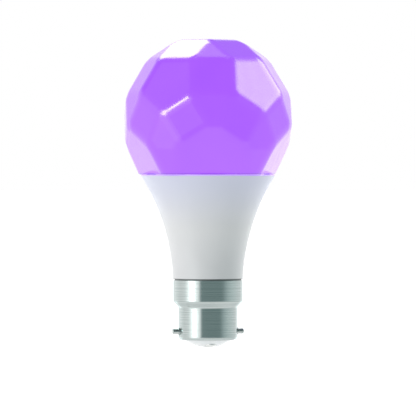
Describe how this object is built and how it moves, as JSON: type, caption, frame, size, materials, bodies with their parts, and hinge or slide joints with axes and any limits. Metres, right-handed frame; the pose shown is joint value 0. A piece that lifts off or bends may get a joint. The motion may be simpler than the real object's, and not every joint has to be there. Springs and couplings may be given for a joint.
{
  "type": "smart light bulb",
  "caption": "Smart light bulb with a faceted violet-lit diffuser, a flared white housing and a two-pin bayonet cap.",
  "frame": {"origin": "centre of the cap's end, at the lowest point of its crowned insulator", "axes": "+Z along the bulb's axis from the cap towards the dome; the bayonet pins lie along X and the contacts along Y"},
  "size_m": [0.0633, 0.0635, 0.1152],
  "materials": {
    "diffuser": "gloss, lit violet from inside",
    "silicone": "matte",
    "housing": "satin white",
    "aluminium": "as pressed",
    "clear_sheet": "thin polyester",
    "thermal_pad": "matte",
    "white_board": "white solder mask",
    "white_led": "phosphor window",
    "colour_led": "white package",
    "steel": "zinc plated",
    "tinned_metal": "tinned",
    "cream_plastic": "moulded",
    "green_board": "green solder mask",
    "capacitor_sleeve": "black sleeve",
    "film_capacitor": "moulded box",
    "ferrite": "sintered",
    "resistor_coat": "dipped coat",
    "varistor_coat": "dipped coat",
    "black_plastic": "moulded",
    "winding_tape": "polyester tape",
    "live_insulation": "satin",
    "neutral_insulation": "satin",
    "copper_track": "plated",
    "cap_metal": "brushed round",
    "insulator": "moulded",
    "contact_metal": "tinned",
    "cap_pin": "turned"
  },
  "bodies": {
    "root": {"diffuser_dome": "diffuser", "dome_adhesive_bead": "silicone", "housing_shell": "housing", "heat_sink_cup": "aluminium", "insulating_sleeve": "clear_sheet", "thermal_pad": "thermal_pad", "led_board": "white_board", "white_leds": "white_led", "colour_leds": "colour_led", "led_board_screws": "steel", "link_pins": "tinned_metal", "link_socket": "cream_plastic", "driver_board": "green_board", "input_capacitor": "capacitor_sleeve", "output_capacitor": "capacitor_sleeve", "film_capacitor": "film_capacitor", "filter_inductor": "ferrite", "fusible_resistor": "resistor_coat", "surge_varistor": "varistor_coat", "transformer_core": "ferrite", "transformer_bobbin": "black_plastic", "transformer_winding": "winding_tape", "bridge_rectifier": "black_plastic", "driver_chip": "black_plastic", "colour_driver_chips": "black_plastic", "output_diode": "black_plastic", "live_lead": "live_insulation", "neutral_lead": "neutral_insulation", "radio_board": "green_board", "radio_chip": "black_plastic", "radio_shield_can": "tinned_metal", "radio_header_pins": "tinned_metal", "antenna_track": "copper_track", "cap_shell": "cap_metal", "cap_insulator": "insulator", "contact_front": "contact_metal", "contact_back": "contact_metal", "bayonet_pin_left": "cap_pin", "bayonet_pin_right": "cap_pin"}
  },
  "joints": []
}
